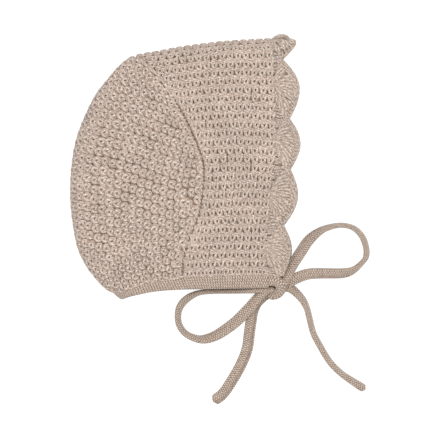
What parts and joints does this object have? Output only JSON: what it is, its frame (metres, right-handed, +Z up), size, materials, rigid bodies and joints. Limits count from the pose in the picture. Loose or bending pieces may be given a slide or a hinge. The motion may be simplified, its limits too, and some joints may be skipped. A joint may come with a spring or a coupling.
{
  "type": "baby bonnet",
  "caption": "Crocheted baby bonnet in a warm greige yarn, lying on its side, with a scalloped face edging, a knitted neck binding and ties in a bow",
  "frame": {"origin": "on the resting surface, under the middle of the bonnet's box without its ties", "axes": "+X from the folded back to the face edge, +Y from the neck to the crown, +Z up from the resting surface"},
  "size_m": [0.1846, 0.227, 0.028],
  "materials": {
    "crochet_yarn": "crocheted melange yarn, matt and slightly fuzzy",
    "edging_yarn": "the same yarn worked in open shell stitches",
    "knitted_tape": "fine machine-knitted tubular tape, matt"
  },
  "bodies": {
    "root": {"back_panel": "crochet_yarn", "front_band": "crochet_yarn", "scallop_trim": "edging_yarn", "neck_binding": "knitted_tape", "bow_knot": "knitted_tape", "tie_loop_right": "knitted_tape", "tie_loop_left": "knitted_tape", "tie_tail_right": "knitted_tape", "tie_tail_left": "knitted_tape"}
  },
  "joints": []
}
